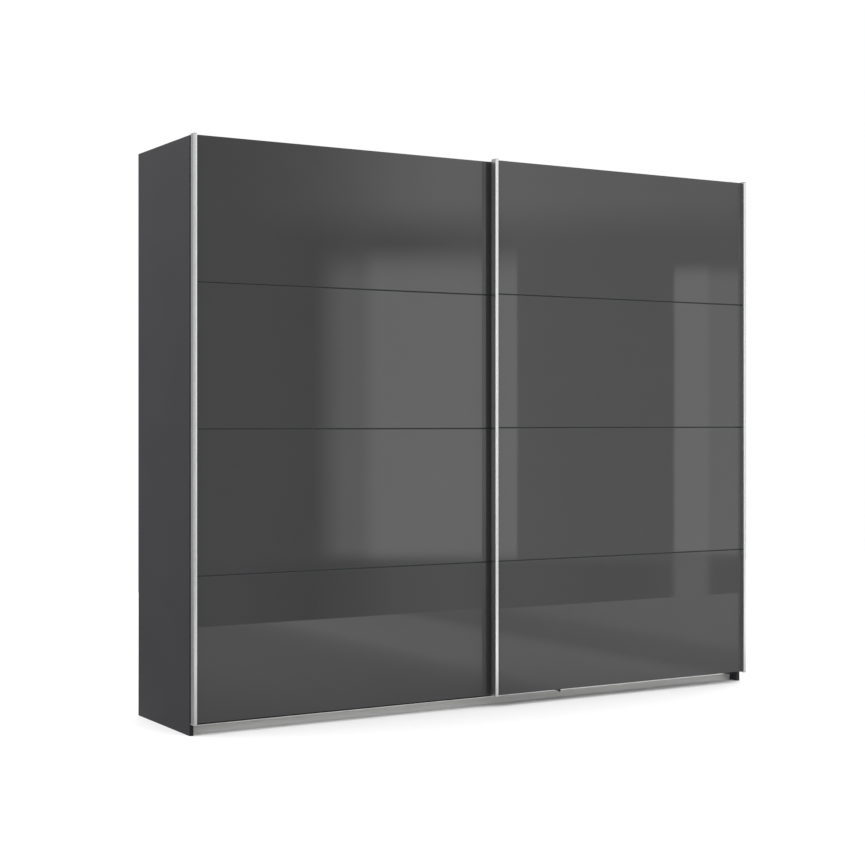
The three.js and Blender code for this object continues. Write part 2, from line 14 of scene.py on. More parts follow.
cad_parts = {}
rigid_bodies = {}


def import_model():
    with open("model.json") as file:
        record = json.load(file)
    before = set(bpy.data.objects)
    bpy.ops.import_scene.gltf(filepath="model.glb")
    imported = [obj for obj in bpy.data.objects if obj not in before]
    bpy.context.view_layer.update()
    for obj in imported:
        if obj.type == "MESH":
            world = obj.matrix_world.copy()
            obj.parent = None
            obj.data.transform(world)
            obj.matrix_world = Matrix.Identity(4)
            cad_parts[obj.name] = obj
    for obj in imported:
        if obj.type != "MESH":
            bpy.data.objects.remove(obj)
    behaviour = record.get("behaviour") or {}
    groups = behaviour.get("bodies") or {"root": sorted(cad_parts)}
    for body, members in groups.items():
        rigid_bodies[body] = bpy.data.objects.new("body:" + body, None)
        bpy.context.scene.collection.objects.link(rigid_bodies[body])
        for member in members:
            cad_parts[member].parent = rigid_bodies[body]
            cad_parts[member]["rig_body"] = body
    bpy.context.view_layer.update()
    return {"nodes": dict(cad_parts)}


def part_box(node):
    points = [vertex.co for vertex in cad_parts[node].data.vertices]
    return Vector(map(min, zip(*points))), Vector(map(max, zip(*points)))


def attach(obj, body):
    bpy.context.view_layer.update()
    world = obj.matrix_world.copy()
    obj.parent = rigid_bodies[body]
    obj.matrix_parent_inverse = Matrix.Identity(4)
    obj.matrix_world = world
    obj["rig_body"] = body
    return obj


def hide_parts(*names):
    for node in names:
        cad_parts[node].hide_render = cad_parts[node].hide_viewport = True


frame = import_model()

# ---- sizes --------------------------------------------------------------------------------

MM = 0.001
GAP = 0.3 * MM  # between two pieces that touch
NEAR = 0.05 * MM  # two places closer than this are one

BOARD_EDGE = 0.8 * MM  # rounding of an edge-banded board
SHEET_EDGE = 0.3 * MM  # rounding of thin sheet, glass and sawn profiles
FINE_EDGE = 0.2 * MM  # of drawn tube, strip and track
MOULDED_EDGE = 0.6 * MM
STOP_EDGE = 1.2 * MM
RAIL_EDGE = 0.25 * MM
GLASS_ARRIS = 0.6 * MM

PROFILE_WALL = 2 * MM
PROFILE_CORNER = 2 * MM
PROFILE_LIP = 1 * MM
GRIP_DEPTH = 18.7 * MM  # of the handle bar that stands proud of the glass

WHEEL_BORE = 4.1 * MM  # radius of the hole that the pin passes through
HANGER_SCREW_HALF = 12 * MM
HANGER_SCREWS = (12 * MM, 44 * MM)  # heights above the foot of a hanger's plate
GUIDE_SCREWS = (34 * MM,)
SCREW_HEAD = 3.6 * MM  # radius of the countersunk heads
SCREW_PROUD = 0.6 * MM
PIN_RADIUS = 3.5 * MM  # the heads that a shelf rests on
PIN_LENGTH = 8 * MM
PIN_INSET = 60 * MM  # from a shelf's front or rear edge to its pins

CAP_PANEL = 2 * MM  # margin round the sunk panel of an end cap
CAP_SINK = 0.4 * MM
CAP_EDGE = 0.35 * MM

GROOVE_DEPTH = 6 * MM  # of the side panels' groove for the back panels
TUBE_WALL = 1.4 * MM
TUBE_END = 20 * MM  # how far a clothes rail is hollowed at each end
BRACKET_PLATE = 3 * MM
BRACKET_SCREW_RISE = 21.5 * MM  # of a bracket's screws above and below its middle

WHEEL_TREAD = 1.5 * MM  # depth of the groove that runs on the rib
WHEEL_RIM = 2.2 * MM  # widths of the rim, the web and the hub's edge, from the outside in
WHEEL_WEB = 4.4 * MM
WHEEL_HUB = 1 * MM
BEARING_EDGE = 2 * MM
WEB_SINK = 1.2 * MM
BEARING_SINK = 0.5 * MM
WHEEL_EDGE = 0.25 * MM
BEARING_RIM = 0.2 * MM  # of nylon that laps over the bearing ring

RAIL_LIP_FOOT = 26.3 * MM
RAIL_LIP_TOP = 31.4 * MM
RAIL_LIP_BACK = 1.7 * MM  # the lip reaches this far behind the rail's face, and
RAIL_LIP_FRONT = 2 * MM  # no further than this ahead of it
RAIL_BASE = 10 * MM  # below this height the rail's face is its foremost part

X, Y, Z = Vector((1, 0, 0)), Vector((0, 1, 0)), Vector((0, 0, 1))


# ---- colours and nodes --------------------------------------------------------------------

def srgb(code):
    """A #rrggbb colour as the linear colour that shaders take."""
    parts = [int(code[i:i + 2], 16) / 255 for i in (1, 3, 5)]
    return (*[p / 12.92 if p <= 0.04045 else ((p + 0.055) / 1.055) ** 2.4 for p in parts], 1)


def per(size_mm):
    """The scale of a pattern whose marks are this many millimetres apart."""
    return 1000 / size_mm


def add_node(tree, kind, feeds=None, **settings):
    """Adds a node, sets its properties, and gives each named input a value or another node's output."""
    made = tree.nodes.new(kind)
    for name, value in settings.items():
        setattr(made, name, value)
    for name, value in (feeds or {}).items():
        if isinstance(value, bpy.types.NodeSocket):
            tree.links.new(value, made.inputs[name])
        else:
            made.inputs[name].default_value = value
    return made


def new_material(name):
    """An empty node material and its tree."""
    material = bpy.data.materials.new(name)
    material.use_nodes = True
    material.node_tree.nodes.clear()
    return material, material.node_tree


def surface(tree, **feeds):
    """The shader of a material, its inputs named with underscores for spaces."""
    shader = add_node(
        tree, "ShaderNodeBsdfPrincipled", {k.replace("_", " "): v for k, v in feeds.items()}
    )
    add_node(tree, "ShaderNodeOutputMaterial", {"Surface": shader.outputs["BSDF"]})


def two_tone(tree, share, dark, light):
    """A colour between two, by a share from 0 to 1."""
    mix = add_node(
        tree, "ShaderNodeMix", {0: share, 6: srgb(dark), 7: srgb(light)}, data_type="RGBA"
    )
    return mix.outputs[2]


# ---- materials ----------------------------------------------------------------------------

def melamine_board(name, dark, light):
    """Melamine paper pressed on chipboard against a pearl plate: an even tone with a dull sheen
    that breaks into fine grains when one comes close."""
    material, tree = new_material(name)
    place = add_node(tree, "ShaderNodeTexCoord").outputs["Object"]
    cloud = add_node(
        tree, "ShaderNodeTexNoise", {"Vector": place, "Scale": per(260), "Detail": 3.0}
    )
    pearl = add_node(
        tree, "ShaderNodeTexNoise", {"Vector": place, "Scale": per(1.1), "Detail": 2.0}
    )
    flake = add_node(tree, "ShaderNodeTexVoronoi", {"Vector": place, "Scale": per(0.7)})
    tone = add_node(
        tree, "ShaderNodeMath",
        {0: cloud.outputs["Fac"], 1: pearl.outputs["Fac"]},
        operation="MULTIPLY",
    )
    share = add_node(
        tree, "ShaderNodeMapRange", {"Value": tone.outputs[0], "From Min": 0.12, "From Max": 0.4}
    )
    sheen = add_node(
        tree, "ShaderNodeMapRange", {"Value": flake.outputs["Distance"], "To Min": 0.4, "To Max": 0.52}
    )
    bump = add_node(
        tree, "ShaderNodeBump",
        {"Height": pearl.outputs["Fac"], "Strength": 0.6, "Distance": 0.03 * MM},
    )
    surface(
        tree, Base_Color=two_tone(tree, share.outputs[0], dark, light),
        Roughness=sheen.outputs[0],
        IOR=1.5, Specular_IOR_Level=0.3, Normal=bump.outputs["Normal"],
    )
    return material


def shade_darkened_edge_band():
    """ABS edge band, extruded and ironed on: a touch smoother than the board, with faint
    lengthwise drag lines. Its tone is a real dark graphite, painted darker than the board's as painted
    shade for the narrow gaps behind the doors where the bands are seen."""
    material, tree = new_material("abs edge band, darkened as painted shade")
    place = add_node(tree, "ShaderNodeTexCoord").outputs["Object"]
    along = add_node(tree, "ShaderNodeMapping", {"Vector": place, "Scale": (1, 1, 0.02)})
    drag = add_node(
        tree, "ShaderNodeTexNoise", {"Vector": along.outputs[0], "Scale": per(0.8), "Detail": 2.0}
    )
    sheen = add_node(
        tree, "ShaderNodeMapRange", {"Value": drag.outputs["Fac"], "To Min": 0.3, "To Max": 0.42}
    )
    bump = add_node(
        tree, "ShaderNodeBump",
        {"Height": drag.outputs["Fac"], "Strength": 0.4, "Distance": 0.02 * MM},
    )
    surface(
        # painted shade: the band's two tones sit well below the board's, standing in for the shade in the
        # gaps behind the doors
        tree, Base_Color=two_tone(tree, drag.outputs["Fac"], "#151417", "#1a191c"),
        Roughness=sheen.outputs[0],
        IOR=1.53, Specular_IOR_Level=0.25, Normal=bump.outputs["Normal"],
    )
    return material


def raw_chipboard():
    """The sawn edge of chipboard: pale chips and darker glue between them, rough all over."""
    material, tree = new_material("chipboard core, sawn")
    place = add_node(tree, "ShaderNodeTexCoord").outputs["Object"]
    flat = add_node(tree, "ShaderNodeMapping", {"Vector": place, "Scale": (1, 1, 0.45)})
    chips = add_node(tree, "ShaderNodeTexVoronoi", {"Vector": flat.outputs[0], "Scale": per(2.4)})
    dust = add_node(tree, "ShaderNodeTexNoise", {"Vector": place, "Scale": per(0.8), "Detail": 3.0})
    share = add_node(
        tree, "ShaderNodeMath", {0: chips.outputs["Color"], 1: dust.outputs["Fac"]}, operation="MULTIPLY"
    )
    bump = add_node(
        tree, "ShaderNodeBump",
        {"Height": chips.outputs["Distance"], "Strength": 0.7, "Distance": 0.25 * MM},
    )
    surface(
        tree, Base_Color=two_tone(tree, share.outputs[0], "#6f573b", "#c0a67c"),
        Roughness=0.85,
        Normal=bump.outputs["Normal"],
    )
    return material


def lacquered_glass():
    """Float glass lacquered on its back: a deep, even graphite under a mirror-smooth face, with the
    slow waviness of float glass and the faintest haze where it was last wiped."""
    material, tree = new_material("float glass, back lacquered")
    place = add_node(tree, "ShaderNodeTexCoord").outputs["Object"]
    wave = add_node(tree, "ShaderNodeTexNoise", {"Vector": place, "Scale": per(420), "Detail": 1.0})
    haze = add_node(tree, "ShaderNodeTexNoise", {"Vector": place, "Scale": per(160), "Detail": 4.0})
    gloss = add_node(
        tree, "ShaderNodeMapRange", {"Value": haze.outputs["Fac"], "To Min": 0.005, "To Max": 0.02}
    )
    bump = add_node(
        tree, "ShaderNodeBump",
        {"Height": wave.outputs["Fac"], "Strength": 1.0, "Distance": 0.05 * MM},
    )
    surface(
        tree, Base_Color=two_tone(tree, haze.outputs["Fac"], "#353536", "#383839"),
        Roughness=gloss.outputs[0],
        IOR=1.52, Normal=bump.outputs["Normal"],
    )
    return material


def ground_glass_edge():
    """The ground arris and edge of a pane: the green of thick glass under a fine matt grind."""
    material, tree = new_material("float glass edge, ground")
    place = add_node(tree, "ShaderNodeTexCoord").outputs["Object"]
    grind = add_node(
        tree, "ShaderNodeTexNoise", {"Vector": place, "Scale": per(0.5), "Detail": 3.0}
    )
    bump = add_node(
        tree, "ShaderNodeBump",
        {"Height": grind.outputs["Fac"], "Strength": 0.5, "Distance": 0.02 * MM},
    )
    surface(
        tree, Base_Color=two_tone(tree, grind.outputs["Fac"], "#26302e", "#3c4a47"),
        Roughness=0.4, IOR=1.52,
        Normal=bump.outputs["Normal"],
    )
    return material


def drawn_metal(name, dark, light, rough, direction, line_mm=0.35):
    """Metal with fine lines along the way it was drawn: the lines catch the light as a soft
    streak across them."""
    material, tree = new_material(name)
    place = add_node(tree, "ShaderNodeTexCoord").outputs["Object"]
    stretch = [0.01 if part else 1 for part in direction]
    along = add_node(tree, "ShaderNodeMapping", {"Vector": place, "Scale": stretch})
    lines = add_node(
        tree, "ShaderNodeTexNoise",
        {"Vector": along.outputs[0], "Scale": per(line_mm), "Detail": 3.0},
    )
    grit = add_node(tree, "ShaderNodeTexNoise", {"Vector": place, "Scale": per(0.5), "Detail": 2.0})
    both = add_node(
        tree, "ShaderNodeMath",
        {0: lines.outputs["Fac"], 1: grit.outputs["Fac"]},
        operation="MULTIPLY",
    )
    sheen = add_node(
        tree, "ShaderNodeMapRange",
        {"Value": both.outputs[0], "From Max": 0.5, "To Min": rough - 0.05, "To Max": rough + 0.07},
    )
    bump = add_node(
        tree, "ShaderNodeBump",
        {"Height": lines.outputs["Fac"], "Strength": 0.35, "Distance": 0.01 * MM},
    )
    surface(
        tree, Base_Color=two_tone(tree, lines.outputs["Fac"], dark, light), Metallic=1.0,
        Roughness=sheen.outputs[0], Normal=bump.outputs["Normal"],
    )
    return material


def moulded_plastic(name, dark, light, rough, ior):
    """Injection-moulded plastic with a spark-eroded skin: an even colour and a soft, finely
    pitted sheen."""
    material, tree = new_material(name)
    place = add_node(tree, "ShaderNodeTexCoord").outputs["Object"]
    skin = add_node(
        tree, "ShaderNodeTexNoise", {"Vector": place, "Scale": per(0.45), "Detail": 3.0}
    )
    flow = add_node(tree, "ShaderNodeTexNoise", {"Vector": place, "Scale": per(14), "Detail": 1.0})
    sheen = add_node(
        tree, "ShaderNodeMapRange",
        {"Value": skin.outputs["Fac"], "To Min": rough - 0.06, "To Max": rough + 0.06},
    )
    bump = add_node(
        tree, "ShaderNodeBump",
        {"Height": skin.outputs["Fac"], "Strength": 0.5, "Distance": 0.02 * MM},
    )
    surface(
        tree, Base_Color=two_tone(tree, flow.outputs["Fac"], dark, light),
        Roughness=sheen.outputs[0], IOR=ior,
        Normal=bump.outputs["Normal"],
    )
    return material


def silver_lacquer():
    """Silver lacquer on an extruded rail: pale flakes in a clear coat, so it looks grey and even
    in the shade of the doors."""
    material, tree = new_material("aluminium, silver lacquered")
    place = add_node(tree, "ShaderNodeTexCoord").outputs["Object"]
    flake = add_node(tree, "ShaderNodeTexVoronoi", {"Vector": place, "Scale": per(0.4)})
    along = add_node(tree, "ShaderNodeMapping", {"Vector": place, "Scale": (0.01, 1, 1)})
    drag = add_node(
        tree, "ShaderNodeTexNoise", {"Vector": along.outputs[0], "Scale": per(0.7), "Detail": 2.0}
    )
    sheen = add_node(
        tree, "ShaderNodeMapRange", {"Value": drag.outputs["Fac"], "To Min": 0.4, "To Max": 0.5}
    )
    bump = add_node(
        tree, "ShaderNodeBump",
        {"Height": drag.outputs["Fac"], "Strength": 0.3, "Distance": 0.01 * MM},
    )
    surface(
        tree, Base_Color=two_tone(tree, flake.outputs["Distance"], "#d0d0cd", "#dedede"), Metallic=0.25,
        Roughness=sheen.outputs[0], Normal=bump.outputs["Normal"],
    )
    return material


def raw_hardboard():
    """The rough back of hardboard: brown fibre with the square print of the wire screen it was
    pressed on."""
    material, tree = new_material("hardboard, screen side")
    place = add_node(tree, "ShaderNodeTexCoord").outputs["Object"]
    fibre = add_node(tree, "ShaderNodeTexNoise", {"Vector": place, "Scale": per(3), "Detail": 5.0})
    shade = add_node(tree, "ShaderNodeTexNoise", {"Vector": place, "Scale": per(22), "Detail": 3.0})
    share = add_node(
        tree, "ShaderNodeMath", {0: fibre.outputs["Fac"], 1: shade.outputs["Fac"]}, operation="ADD"
    )
    tone = add_node(
        tree, "ShaderNodeMapRange", {"Value": share.outputs[0], "From Min": 0.6, "From Max": 1.4}
    )
    # the screen's real mesh is 1.5 mm; at 4 mm it shows from further off
    across = add_node(
        tree, "ShaderNodeTexWave", {"Vector": place, "Scale": per(4) / 20, "Distortion": 0.6}
    )
    upward = add_node(
        tree, "ShaderNodeTexWave", {"Vector": place, "Scale": per(4) / 20, "Distortion": 0.6},
        bands_direction="Z",
    )
    screen = add_node(
        tree, "ShaderNodeMath",
        {0: across.outputs["Fac"], 1: upward.outputs["Fac"]},
        operation="ADD",
    )
    bump = add_node(
        tree, "ShaderNodeBump", {"Height": screen.outputs[0], "Strength": 0.5, "Distance": 0.1 * MM}
    )
    surface(
        tree, Base_Color=two_tone(tree, tone.outputs[0], "#6b523b", "#7f6448"),
        Roughness=0.8,
        Normal=bump.outputs["Normal"],
    )
    return material


graphite_board = melamine_board("melamine board, pearl pressed", "#2c2b30", "#313035")
back_foil = melamine_board("hardboard, printed side", "#403f44", "#48474c")
band_darkened_as_shade = shade_darkened_edge_band()
board_core = raw_chipboard()
door_glass = lacquered_glass()
glass_edge = ground_glass_edge()
screen_back = raw_hardboard()
handle_metal = drawn_metal("aluminium, satin anodised upright", "#cdcecf", "#d8d9da", 0.22, Z)
rail_metal = drawn_metal("aluminium, satin anodised lengthwise", "#dededd", "#e8e8e7", 0.25, X)
rail_silver = silver_lacquer()
zinc_steel = drawn_metal("steel, zinc plated", "#a9adb3", "#bfc3c8", 0.36, Z, line_mm=0.8)
chrome_tube = drawn_metal("steel tube, chromed", "#dcdddf", "#e8e9ea", 0.12, X, line_mm=0.6)
grey_cap = moulded_plastic("abs, moulded grey", "#a3a4a6", "#aaabad", 0.45, 1.53)
black_guide = moulded_plastic("acetal, moulded black", "#17171a", "#1e1e21", 0.42, 1.48)
white_wheel = moulded_plastic("nylon, moulded white", "#d8d6cd", "#e2e0d8", 0.38, 1.53)


def paint(obj, main, *special):
    """Gives obj its material, and each (material, test) of special to the faces whose centre and
    normal pass the test."""
    obj.data.materials.clear()
    obj.data.materials.append(main)
    for polygon in obj.data.polygons:
        polygon.material_index = 0
    for index, (material, wanted) in enumerate(special, 1):
        obj.data.materials.append(material)
        for polygon in obj.data.polygons:
            if wanted(polygon.center, polygon.normal):
                polygon.material_index = index


# ---- modelling ----------------------------------------------------------------------------

def clear_selection():
    bpy.ops.object.select_all(action="DESELECT")


def settled(name):
    """Names the primitive just added and moves its place into its mesh."""
    obj = bpy.context.object
    obj.name = obj.data.name = name
    bpy.ops.object.transform_apply(location=True, rotation=True, scale=True)
    return obj


def start_block(name, low, high):
    clear_selection()
    low, high = Vector(low), Vector(high)
    bpy.ops.mesh.primitive_cube_add(size=1, location=(low + high) / 2, scale=high - low)
    return settled(name)


def start_round(name, centre, radius, length, axis, sides=48):
    clear_selection()
    turn = Z.rotation_difference(axis).to_euler()
    bpy.ops.mesh.primitive_cylinder_add(
        vertices=sides, radius=radius, depth=length, location=centre, rotation=turn
    )
    return settled(name)


def start_section(name, low, high):
    """A flat sheet in X and Y at the height of low, to be shaped and then drawn upwards."""
    clear_selection()
    low, high = Vector(low), Vector(high)
    middle = ((low.x + high.x) / 2, (low.y + high.y) / 2, low.z)
    bpy.ops.mesh.primitive_plane_add(size=1, location=middle)
    bpy.context.object.scale = (high.x - low.x, high.y - low.y, 1)
    return settled(name)


@contextlib.contextmanager
def editing(obj, kind="FACE"):
    """Edit mode on obj alone, picking vertices, edges or faces."""
    clear_selection()
    bpy.context.view_layer.objects.active = obj
    obj.select_set(True)
    bpy.ops.object.mode_set(mode="EDIT")
    bpy.ops.mesh.select_mode(type=kind)
    bpy.ops.mesh.select_all(action="DESELECT")
    yield
    bpy.ops.object.mode_set(mode="OBJECT")


def pick_faces(obj, wanted):
    """Selects only the faces whose centre and normal pass the test."""
    bpy.ops.mesh.select_all(action="DESELECT")
    mesh = bmesh.from_edit_mesh(obj.data)
    for face in mesh.faces:
        if wanted(face.calc_center_median(), face.normal):
            face.select_set(True)
    bmesh.update_edit_mesh(obj.data)


def pick_edges(obj, wanted):
    """Selects only the edges whose two ends pass the test."""
    bpy.ops.mesh.select_all(action="DESELECT")
    mesh = bmesh.from_edit_mesh(obj.data)
    for edge in mesh.edges:
        if all(wanted(v.co) for v in edge.verts):
            edge.select_set(True)
    bmesh.update_edit_mesh(obj.data)


def pick_vertices(obj, wanted):
    """Selects only the vertices whose place passes the test."""
    bpy.ops.mesh.select_all(action="DESELECT")
    mesh = bmesh.from_edit_mesh(obj.data)
    for vertex in mesh.verts:
        vertex.select_set(wanted(vertex.co))
    mesh.select_flush(True)
    bmesh.update_edit_mesh(obj.data)


def slice_at(point, normal):
    """Cuts new edges where a plane crosses the mesh in edit mode."""
    bpy.ops.mesh.select_all(action="SELECT")
    bpy.ops.mesh.bisect(plane_co=point, plane_no=normal)
    bpy.ops.mesh.select_all(action="DESELECT")


def extrude(shift):
    bpy.ops.mesh.extrude_region_move(TRANSFORM_OT_translate={"value": shift})


def move(shift):
    bpy.ops.transform.translate(value=shift)


def draw_out(shift):
    """Draws the flat section in edit mode out into a solid."""
    bpy.ops.mesh.select_all(action="SELECT")
    bpy.ops.mesh.dissolve_limited(angle_limit=math.radians(1))
    bpy.ops.mesh.select_all(action="SELECT")
    extrude(shift)
    bpy.ops.mesh.select_all(action="SELECT")
    bpy.ops.mesh.normals_make_consistent(inside=False)


def finish_edges(obj, radius, segments=2):
    """Rounds the sharp edges of a piece, keeping its flat faces flat to the eye."""
    clear_selection()
    bpy.context.view_layer.objects.active = obj
    obj.select_set(True)
    bpy.ops.object.shade_smooth_by_angle(angle=math.radians(32))
    bevel = obj.modifiers.new("rounded edges", "BEVEL")
    bevel.width = radius
    bevel.segments = segments
    bevel.limit_method = "ANGLE"
    bevel.angle_limit = math.radians(40)
    bevel.harden_normals = True
    bpy.ops.object.modifier_apply(modifier=bevel.name)
    return obj


def copied(obj, name, shift=(0, 0, 0)):
    """A copy with its own mesh, moved in its mesh."""
    twin = bpy.data.objects.new(name, obj.data.copy())
    twin.data.name = name
    bpy.context.scene.collection.objects.link(twin)
    twin.data.transform(Matrix.Translation(shift))
    return twin


def mirrored_copy(obj, name, about):
    """A copy turned left to right about the plane x = about."""
    twin = copied(obj, name)
    clear_selection()
    bpy.context.view_layer.objects.active = twin
    twin.select_set(True)
    with editing(twin):
        bpy.ops.mesh.select_all(action="SELECT")
        bpy.ops.transform.resize(value=(-1, 1, 1), center_override=(about, 0, 0))
        bpy.ops.mesh.normals_make_consistent(inside=False)
    return twin


def merged_copy(node, name):
    """A copy of a frame node with its loose triangles merged into whole faces."""
    twin = copied(frame["nodes"][node], name)
    for key in list(twin.keys()):
        del twin[key]
    with editing(twin, "VERT"):
        bpy.ops.mesh.select_all(action="SELECT")
        bpy.ops.mesh.remove_doubles(threshold=NEAR / 10)
        bpy.ops.mesh.dissolve_limited(angle_limit=math.radians(1))
    return twin


def ride_with(obj, node):
    """obj moves with the body that holds node."""
    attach(obj, frame["nodes"][node]["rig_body"])
    return obj


def stand_for(obj, node):
    """obj is shown in place of node."""
    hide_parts(node)
    return ride_with(obj, node)


def finished(node):
    return node + "_finished"


# ---- boards -------------------------------------------------------------------------------

def facing(axis, least=0.9):
    """A test for faces that point along axis."""
    return lambda centre, normal: normal.dot(axis) > least


def make_side_panel(node, inward):
    """A side panel: banded edges, and a groove for the back panels in its inner face."""
    low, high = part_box(node)
    panel = start_block(finished(node), low, high)
    back_low, back_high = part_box("back_panel_left_outer")
    inner = high.x if inward.x > 0 else low.x
    with editing(panel):
        slice_at((0, back_low.y - GAP, 0), Y)
        slice_at((0, back_high.y + GAP, 0), Y)
        in_groove = lambda c, n: n.dot(inward) > 0.9 and back_low.y - GAP < c.y < back_high.y + GAP
        pick_faces(panel, in_groove)
        extrude(-GROOVE_DEPTH * inward)
    finish_edges(panel, BOARD_EDGE)
    raw = lambda c, n: n.z < -0.9 or n.y > 0.9 or (abs(c.x - inner) > NEAR and n.dot(inward) > 0.9)
    paint(panel, graphite_board, (band_darkened_as_shade, lambda c, n: n.y < -0.9 or n.z > 0.9), (board_core, raw))
    return stand_for(panel, node)


def make_board(node):
    """A plain board, banded at the front and sawn at the back and the ends."""
    low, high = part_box(node)
    plank = finish_edges(start_block(finished(node), low, high), BOARD_EDGE)
    sawn = lambda c, n: n.y > 0.9 or abs(n.x) > 0.9
    paint(plank, graphite_board, (band_darkened_as_shade, facing(-Y)), (board_core, sawn))
    return stand_for(plank, node)


def make_partition(node="centre_partition"):
    """The notched partition, banded at the front and sawn at the back, the top and the foot."""
    partition = finish_edges(merged_copy(node, finished(node)), BOARD_EDGE)
    sawn = lambda c, n: n.y > 0.9 or abs(n.z) > 0.9
    paint(partition, graphite_board, (band_darkened_as_shade, facing(-Y)), (board_core, sawn))
    return stand_for(partition, node)


def make_back_panel(node):
    """Thin board, printed towards the inside and rough on its back and edges."""
    low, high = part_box(node)
    sheet = finish_edges(start_block(finished(node), low, high), SHEET_EDGE, 1)
    paint(sheet, back_foil, (screen_back, lambda c, n: n.y > 0.5 or abs(n.x) > 0.5 or abs(n.z) > 0.5))
    return stand_for(sheet, node)


make_side_panel("left_side_panel", X)
make_side_panel("right_side_panel", -X)
make_partition()
for side in ("left", "right"):
    make_board(f"top_panel_{side}")
    make_board(f"bottom_panel_{side}")
    make_board(f"hat_shelf_{side}")
    for place in ("outer", "inner"):
        make_back_panel(f"back_panel_{side}_{place}")
make_board("rear_plinth_bar")


# ---- small hardware -----------------------------------------------------------------------

def make_screw(name):
    """A countersunk head with a cross recess, at the origin and facing up."""
    head = start_round(name, (0, 0, 0), SCREW_HEAD, 2 * SCREW_PROUD, Z, sides=24)
    with editing(head):
        pick_faces(head, facing(Z))
        bpy.ops.transform.resize(value=(0.82, 0.82, 1), center_override=(0, 0, 0))
        bpy.ops.mesh.inset(thickness=SCREW_HEAD * 0.25)
        bpy.ops.mesh.inset(thickness=SCREW_HEAD * 0.2)
        extrude((0, 0, -0.9 * SCREW_PROUD))
        bpy.ops.transform.resize(value=(0.5, 0.5, 1), center_override=(0, 0, 0))
    finish_edges(head, 0.1 * MM)
    cutters = []
    for size in ((0.62, 0.16), (0.16, 0.62)):
        reach = Vector((size[0] * SCREW_HEAD, size[1] * SCREW_HEAD, SCREW_PROUD))
        cutters.append(start_block(name + "_slot", -reach, reach + Vector((0, 0, SCREW_PROUD))))
    for cutter in cutters:
        slot = head.modifiers.new("cross recess", "BOOLEAN")
        slot.operation = "DIFFERENCE"
        slot.object = cutter
        bpy.context.view_layer.objects.active = head
        bpy.ops.object.modifier_apply(modifier=slot.name)
        bpy.data.objects.remove(cutter)
    paint(head, zinc_steel)
    return head


master_screw = make_screw("screw_master")


def make_shelf_pin(name):
    """The turned head of a shelf pin, along +X from the upright it is pushed into: a groove near
    its root and a rounded end."""
    pin = start_round(name, (PIN_LENGTH / 2, 0, 0), PIN_RADIUS, PIN_LENGTH, X, sides=32)
    groove = (1 * MM, 1.3 * MM, 1.9 * MM, 2.2 * MM)
    with editing(pin):
        for place in groove:
            slice_at((place, 0, 0), X)
        pick_vertices(pin, lambda v: groove[0] + NEAR < v.x < groove[-1] - NEAR)
        bpy.ops.transform.resize(value=(1, 0.85, 0.85), center_override=(0, 0, 0))
    finish_edges(pin, 0.5 * MM)
    paint(pin, zinc_steel)
    return pin


def place_pins(shelf):
    """Two pins in each upright, under the shelf's ends."""
    master = make_shelf_pin("shelf_pin_master")
    low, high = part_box(shelf)
    height = low.z - PIN_RADIUS
    for place, y in (("front", low.y + PIN_INSET), ("rear", high.y - PIN_INSET)):
        near = copied(master, f"{shelf}_pin_left_{place}", (low.x - GAP, y, height))
        far = mirrored_copy(near, f"{shelf}_pin_right_{place}", (low.x + high.x) / 2)
        for pin in (near, far):
            ride_with(pin, shelf)
    bpy.data.objects.remove(master)


def place_screw(name, point, facing_to, node):
    """A copy of the screw with its head at point, facing away from the piece it holds."""
    screw = copied(master_screw, name)
    turn = Z.rotation_difference(facing_to).to_matrix().to_4x4()
    screw.data.transform(Matrix.Translation(Vector(point)) @ turn)
    return ride_with(screw, node)


for side in ("left", "right"):
    place_pins(f"hat_shelf_{side}")


# ---- doors --------------------------------------------------------------------------------

def make_pane(node):
    """A pane with ground edges and a fine arris."""
    low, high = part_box(node)
    pane = finish_edges(start_block(finished(node), low, high), GLASS_ARRIS, 2)
    paint(pane, door_glass, (glass_edge, lambda c, n: n.y > -0.99))
    return stand_for(pane, node)


def make_profile(name, node):
    """The handle profile of a door's left edge, drawn upwards from its section: a wall over the
    board's edge, and a grip bar proud of the glass with rounded corners."""
    low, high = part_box(node)
    bar_back = low.y + GRIP_DEPTH - GAP
    profile = start_section(name, low, (high.x, bar_back, low.z))
    with editing(profile, "VERT"):
        slice_at((low.x + PROFILE_WALL, 0, 0), X)
        pick_edges(profile, lambda v: v.y > bar_back - NEAR and v.x < low.x + PROFILE_WALL + NEAR)
        extrude((0, high.y - bar_back, 0))
        pick_vertices(profile, lambda v: v.x < low.x + NEAR and v.y < low.y + NEAR)
        bpy.ops.mesh.bevel(offset=PROFILE_CORNER, segments=10, affect="VERTICES")
        pick_vertices(profile, lambda v: v.x > high.x - NEAR and v.y < low.y + NEAR)
        bpy.ops.mesh.bevel(offset=PROFILE_LIP, segments=4, affect="VERTICES")
        draw_out((0, 0, high.z - low.z))
    clear_selection()
    profile.select_set(True)
    bpy.context.view_layer.objects.active = profile
    bpy.ops.object.shade_smooth_by_angle(angle=math.radians(32))
    paint(profile, handle_metal)
    return profile


def make_cap(name, node, outward):
    """The moulded cap on a profile's end: its own round corner, and a shallow sunk panel outside."""
    low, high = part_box(node)
    cap = start_block(name, low, high)
    with editing(cap, "EDGE"):
        pick_edges(cap, lambda v: v.x < low.x + NEAR and v.y < low.y + NEAR)
        bpy.ops.mesh.bevel(offset=PROFILE_CORNER, segments=8, affect="EDGES")
        bpy.ops.mesh.select_mode(type="FACE")
        pick_faces(cap, facing(outward))
        bpy.ops.mesh.inset(thickness=CAP_PANEL)
        extrude(-CAP_SINK * outward)
    finish_edges(cap, CAP_EDGE)
    paint(cap, grey_cap)
    return cap


def make_hanger(node):
    """A pressed and bent steel plate with the wheel's pin riveted to it."""
    plate = finish_edges(merged_copy(node, finished(node)), SHEET_EDGE)
    paint(plate, zinc_steel)
    return stand_for(plate, node)


